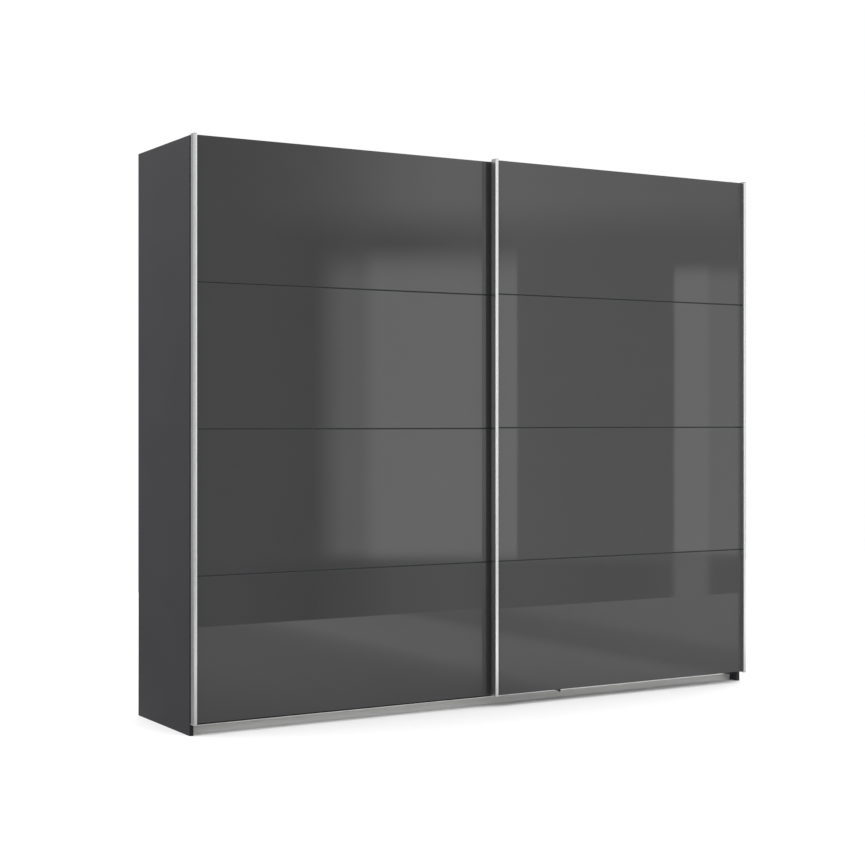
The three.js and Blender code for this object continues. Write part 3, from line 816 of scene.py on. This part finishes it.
def make_wheel(name, node):
    """A running wheel: a grooved tread, dished sides, and a steel bearing ring with a bore for the
    pin."""
    low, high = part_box(node)
    middle = (low + high) / 2
    radius = (high.z - low.z) / 2
    half = (high.y - low.y) / 2
    bearing = radius - WHEEL_RIM - WHEEL_WEB - WHEEL_HUB
    wheel = start_round(name, middle, radius, 2 * half, Y, sides=96)

    def from_axle(place):
        return Vector((place.x - middle.x, 0, place.z - middle.z)).length

    with editing(wheel):
        for offset in (-2 * WHEEL_TREAD, -WHEEL_TREAD, WHEEL_TREAD, 2 * WHEEL_TREAD):
            slice_at((0, middle.y + offset, 0), Y)
        pick_vertices(wheel, lambda v: abs(v.y - middle.y) < WHEEL_TREAD + NEAR)
        sunk = (radius - WHEEL_TREAD) / radius
        bpy.ops.transform.resize(value=(sunk, 1, sunk), center_override=middle)
        for outward in (-Y, Y):
            on_side = lambda c, n: n.dot(outward) > 0.99 and abs(c.y - middle.y) > half - NEAR
            pick_faces(wheel, on_side)
            bpy.ops.mesh.inset(thickness=WHEEL_RIM)
            extrude(-WEB_SINK * outward)
            bpy.ops.mesh.inset(thickness=WHEEL_WEB)
            extrude(WEB_SINK * outward)
            bpy.ops.mesh.inset(thickness=WHEEL_HUB)
            bpy.ops.mesh.inset(thickness=BEARING_EDGE)
            extrude(-BEARING_SINK * outward)
            bpy.ops.mesh.inset(thickness=bearing - BEARING_EDGE - WHEEL_BORE)
        pick_faces(wheel, lambda c, n: abs(n.y) > 0.99 and from_axle(c) < NEAR)
        bpy.ops.mesh.bridge_edge_loops()
    finish_edges(wheel, WHEEL_EDGE)
    on_bearing = lambda c, n: from_axle(c) < bearing - BEARING_RIM
    paint(wheel, white_wheel, (zinc_steel, on_bearing))
    return wheel


def screw_down(node, face, half, heights):
    """Screws through a plate that lies in the back of a door, at heights above the plate's foot and
    half to either side of its middle."""
    low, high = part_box(node)
    sides = (-half, half) if half else (0,)
    points = [((low.x + high.x) / 2 + across, face, low.z + up) for up in heights for across in sides]
    for number, point in enumerate(points, 1):
        place_screw(f"{node}_screw_{number}", point, Y, node)


def make_plain(node, material, radius=SHEET_EDGE):
    """A piece whose shape is the frame's, with its edges rounded."""
    made = finish_edges(merged_copy(node, finished(node)), radius)
    paint(made, material)
    return stand_for(made, node)


master_profile = make_profile("profile_master", "left_door_handle_profile_left")
master_caps = {
    end: make_cap(f"{end}_cap_master", f"left_door_{end}_cap_left", outward)
    for end, outward in (("top", Z), ("bottom", -Z))
}
master_wheel = make_wheel("wheel_master", "left_door_wheel_left")


def shift_between(node, other):
    """From the lowest corner of node to that of other."""
    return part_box(other)[0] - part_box(node)[0]


for label in ("left", "right"):
    door = label + "_door_"
    for number in (1, 2, 3, 4):
        make_pane(f"{door}glass_pane_{number}")
    board = make_plain(door + "board", graphite_board, BOARD_EDGE)
    paint(board, graphite_board, (band_darkened_as_shade, lambda c, n: abs(n.z) > 0.9 or abs(n.x) > 0.9))
    low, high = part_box(door + "board")
    middle = (low.x + high.x) / 2
    board_back = high.y

    masters = [(master_profile, "left_door_handle_profile_left", "handle_profile", "satin_aluminium")]
    masters += [
        (cap, f"left_door_{end}_cap_left", f"{end}_cap", "grey_plastic")
        for end, cap in master_caps.items()
    ]
    for master, origin, part, slot in masters:
        left_node, right_node = f"{door}{part}_left", f"{door}{part}_right"
        left = copied(master, finished(left_node), shift_between(origin, left_node))
        right = mirrored_copy(left, finished(right_node), middle)
        stand_for(left, left_node)
        stand_for(right, right_node)

    for side in ("left", "right"):
        node = f"{door}wheel_{side}"
        wheel = copied(master_wheel, finished(node), shift_between("left_door_wheel_left", node))
        stand_for(wheel, node)
        make_hanger(f"{door}hanger_{side}")
        screw_down(f"{door}hanger_{side}", board_back, HANGER_SCREW_HALF, HANGER_SCREWS)
    make_plain(door + "bottom_guide", black_guide)
    screw_down(f"{door}bottom_guide", board_back, 0, GUIDE_SCREWS)

for master in (master_profile, *master_caps.values(), master_wheel):
    bpy.data.objects.remove(master)


# ---- rails, brackets and feet -------------------------------------------------------------

def make_clothes_rail(node):
    """An oval tube, stretched upwards from a round one, open at its ends."""
    low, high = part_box(node)
    middle = (low + high) / 2
    radius = (high.y - low.y) / 2
    rise = (high.z - low.z) / 2 - radius
    tube = start_round(finished(node), middle, radius, high.x - low.x, X, sides=64)
    with editing(tube):
        slice_at(middle, Z)
        for way in (-1, 1):
            pick_vertices(tube, lambda v: way * (v.z - middle.z) > NEAR)
            move((0, 0, way * rise))
        for outward in (-X, X):
            pick_faces(tube, facing(outward))
            bpy.ops.mesh.inset(thickness=TUBE_WALL)
            extrude(-TUBE_END * outward)
    finish_edges(tube, FINE_EDGE)
    paint(tube, chrome_tube)
    return stand_for(tube, node)


for side in ("left", "right"):
    make_clothes_rail(f"clothes_rail_{side}")
    for place in ("inner", "outer"):
        node = f"clothes_rail_bracket_{side}_{place}"
        make_plain(node, zinc_steel)
        low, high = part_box(node)
        outward = X if (side == "right") == (place == "inner") else -X
        middle = (low + high) / 2
        face = (low.x if outward.x > 0 else high.x) + BRACKET_PLATE * outward.x
        for label, way in (("lower", -1), ("upper", 1)):
            point = (face, middle.y, middle.z + way * BRACKET_SCREW_RISE)
            place_screw(f"{node}_screw_{label}", point, outward, node)
    make_plain(f"support_foot_{side}", black_guide, MOULDED_EDGE)
    make_plain(f"back_joint_strip_{side}", black_guide, FINE_EDGE)
    make_plain(f"track_end_stop_{side}", black_guide, STOP_EDGE)
make_plain("upper_running_track", rail_metal, FINE_EDGE)


def make_lower_rail(node="lower_guide_rail"):
    """The silver front of the lower rail and its bright lip; the rest of the rail, with the two guide
    channels behind, is painted black acetal as painted shade for the channels in the doors' shadow."""
    rail = make_plain(node, black_guide, RAIL_EDGE)
    front = min(v.co.y for v in rail.data.vertices if v.co.z < RAIL_BASE)

    def on_face(c, n):
        return c.y < front + NEAR and c.z < RAIL_LIP_FOOT

    def on_lip(c, n):
        in_depth = front - RAIL_LIP_FRONT < c.y < front + RAIL_LIP_BACK
        return in_depth and RAIL_LIP_FOOT < c.z < RAIL_LIP_TOP + NEAR

    # painted shade: every face but the silver face and the lip stays black, standing in for the shadow in
    # the guide channels
    paint(rail, black_guide, (rail_silver, on_face), (rail_metal, on_lip))


make_lower_rail()

bpy.data.objects.remove(master_screw)


# ---- studio -------------------------------------------------------------------------------

FLOOR_NEAR = -3.4  # the floor ends here, and the pale walls of the studio begin
FLOOR_FAR = 5
FLOOR_SIDE = 9

# The studio's walls and ceiling are painted with light. Each list gives brightness against the
# angle, in degrees, to the right of straight ahead of the doors.
WALL_LIGHT = [
    (-180, 0.45), (-110, 0.4), (-80, 0.6), (-50, 1.6), (-30, 2), (-12, 2), (5, 0.7), (18, 0.45),
    (25, 0.47), (26.5, 0.36), (28, 0.5), (30.5, 0.55), (31.5, 0.8), (33.7, 0.98), (36, 0.85),
    (39, 0.78), (60, 1), (180, 0.45),
]
CEILING_LIGHT = [
    (-180, 0.4), (-110, 0.6), (-40, 1.2), (10, 0.6), (23, 0.45), (25, 0.52), (26.5, 0.67), (28, 0.95),
    (30, 1.48), (32, 1.6), (34, 1.5), (36, 1.33), (40, 1.15), (180, 0.4),
]
LOW_WALL_LIGHT = [
    (-180, 0.3), (-60, 0.8), (18, 0.45), (24.5, 0.45), (26.2, 0.22), (28.5, 0.45), (29.2, 0.66),
    (32, 0.78), (33.7, 0.75), (37.5, 0.52), (39, 0.7), (60, 0.8), (180, 0.3),
]
WALL_TOP = (5.9, 7.6)  # heights, in degrees, between which the wall passes into the ceiling
WALL_FOOT = (-4.9, -4.5)  # and between which it passes into the low wall
OVERHEAD = (10, 25)  # and the ceiling into the light overhead

# Tall soft windows: where the left, right, lower and upper edges fade from nothing to the full
# brightness, and that brightness.
SOFT_WINDOWS = [
    ((26.6, 27.9), (33.65, 33.55), (-4.85, -4.2), (6.1, 4.6), 1.35),
    ((28.2, 29), (33.65, 33.55), (-4.85, -4.2), (6.1, 4.6), 1.98),
    ((38.8, 38.95), (42.6, 42.2), (-4.6, -4.2), (5.4, 4.6), 1.55),
    ((38.8, 38.95), (40.1, 39.9), (-4.6, -4.2), (5.4, 4.6), 1.88),
    ((38.7, 39), (40.2, 39.8), (-8, -7.5), (-4.2, -4.6), 1.28),
]
# Painted light and shade on the floor as reflections and bounce light see it, against the distance in
#  metres to the right of the middle: painted shade beside the wardrobe, and painted light where the
#      windows' light falls.
FLOOR_PAINTED_LIGHT = [
    (-2, 0.15), (-1.5, 0.2), (-1.2, 0.45), (-0.6, 0.56), (0.1, 0.52), (0.35, 0.62), (0.6, 0.9),
    (1.25, 0.8), (1.5, 0.5), (1.9, 0.52), (2.2, 0.68), (3, 0.7),
]
OVERHEAD_LIGHT = 1.9
DEGREE = math.radians(1)
BRIGHTEST = 2  # a colour ramp holds no more than 1, so its levels are this many times smaller


def read_levels(tree, value, levels, unit=DEGREE):
    """Brightness read from a list of (place, level), the places in this unit."""
    first, last = levels[0][0], levels[-1][0]
    limits = {"Value": value, "From Min": first * unit, "From Max": last * unit}
    share = add_node(tree, "ShaderNodeMapRange", limits)
    ramp = add_node(tree, "ShaderNodeValToRGB", {"Fac": share.outputs[0]})
    stops = ramp.color_ramp.elements
    while len(stops) < len(levels):
        stops.new(1)
    for stop, (place, level) in zip(stops, levels):
        stop.position = (place - first) / (last - first)
        stop.color = (*[level / BRIGHTEST] * 3, 1)
    whole = add_node(
        tree, "ShaderNodeMath", {0: ramp.outputs["Color"], 1: BRIGHTEST}, operation="MULTIPLY"
    )
    return whole.outputs[0]


def passed(tree, angle, start, end):
    """A share that goes softly from 0 to 1 as an angle goes from start to end."""
    limits = {"Value": angle, "From Min": math.radians(start), "From Max": math.radians(end)}
    return add_node(tree, "ShaderNodeMapRange", limits, interpolation_type="SMOOTHSTEP").outputs[0]


def studio_world():
    """White where the camera looks past the wardrobe, and a soft room of light for everything else."""
    world = bpy.data.worlds.new("soft studio")
    bpy.context.scene.world = world
    world.use_nodes = True
    tree = world.node_tree
    tree.nodes.clear()
    way = add_node(tree, "ShaderNodeTexCoord").outputs["Generated"]
    parts = add_node(tree, "ShaderNodeSeparateXYZ", {"Vector": way})
    ahead = add_node(tree, "ShaderNodeMath", {0: parts.outputs["Y"], 1: -1}, operation="MULTIPLY")
    turn = add_node(
        tree, "ShaderNodeMath", {0: parts.outputs["X"], 1: ahead.outputs[0]}, operation="ARCTAN2"
    )
    turn = turn.outputs[0]
    rise = add_node(tree, "ShaderNodeMath", {0: parts.outputs["Z"]}, operation="ARCSINE").outputs[0]

    light = read_levels(tree, turn, WALL_LIGHT)
    layers = [
        (passed(tree, rise, *WALL_TOP), read_levels(tree, turn, CEILING_LIGHT)),
        (passed(tree, rise, *reversed(WALL_FOOT)), read_levels(tree, turn, LOW_WALL_LIGHT)),
        (passed(tree, rise, *OVERHEAD), OVERHEAD_LIGHT),
    ]
    for left, right, foot, head, level in SOFT_WINDOWS:
        within = 1
        for angle, edge in ((turn, left), (turn, right), (rise, foot), (rise, head)):
            share = passed(tree, angle, *edge)
            within = add_node(
                tree, "ShaderNodeMath", {0: within, 1: share}, operation="MULTIPLY"
            ).outputs[0]
        layers.append((within, level))
    for share, level in layers:
        light = add_node(tree, "ShaderNodeMix", {0: share, 2: light, 3: level}).outputs[0]

    lit = add_node(tree, "ShaderNodeBackground", {"Color": light, "Strength": 1})
    white = add_node(tree, "ShaderNodeBackground", {"Color": (1, 1, 1, 1), "Strength": 1})
    seen = add_node(tree, "ShaderNodeLightPath").outputs["Is Camera Ray"]
    both = add_node(tree, "ShaderNodeMixShader", {0: seen, 1: lit.outputs[0], 2: white.outputs[0]})
    add_node(tree, "ShaderNodeOutputWorld", {"Surface": both.outputs[0]})


def studio_floor():
    """White seamless vinyl, with the slightest grain, to the camera; to reflections and bounce light its
    tone carries painted shade beside the wardrobe and painted light where the windows' light falls.
    """
    floor = start_section("studio_floor", (-FLOOR_SIDE, FLOOR_NEAR, 0), (FLOOR_SIDE, FLOOR_FAR, 0))
    material, tree = new_material("vinyl, white matt, painted light for reflections")
    place = add_node(tree, "ShaderNodeTexCoord").outputs["Object"]
    grain = add_node(tree, "ShaderNodeTexNoise", {"Vector": place, "Scale": per(3), "Detail": 2.0})
    seen = add_node(tree, "ShaderNodeLightPath").outputs["Is Camera Ray"]
    white = two_tone(tree, grain.outputs["Fac"], "#f0f0f0", "#f4f4f4")
    across = add_node(tree, "ShaderNodeSeparateXYZ", {"Vector": place}).outputs["X"]
    # painted light and shade: the floor's tone for reflections and bounce light, read across its width
    painted_floor_light = read_levels(tree, across, FLOOR_PAINTED_LIGHT, unit=1)
    tone = add_node(tree, "ShaderNodeMix", {0: seen, 6: painted_floor_light, 7: white}, data_type="RGBA")
    surface(tree, Base_Color=tone.outputs[2], Roughness=0.9)
    paint(floor, material)


def studio_camera():
    """Level, at eye height, turned half towards the left side of the wardrobe."""
    camera = bpy.data.objects.new("camera", bpy.data.cameras.new("camera"))
    bpy.context.scene.collection.objects.link(camera)
    camera.location = (-3.8429, -6.2110, 1.18866)
    camera.rotation_euler = (math.radians(90), 0, math.radians(-30.75))
    camera.data.sensor_width = 36
    camera.data.lens = 70.58
    camera.data.shift_y = -0.01238
    bpy.context.scene.camera = camera


studio_world()
studio_floor()
studio_camera()
bpy.context.scene.view_settings.view_transform = "Standard"
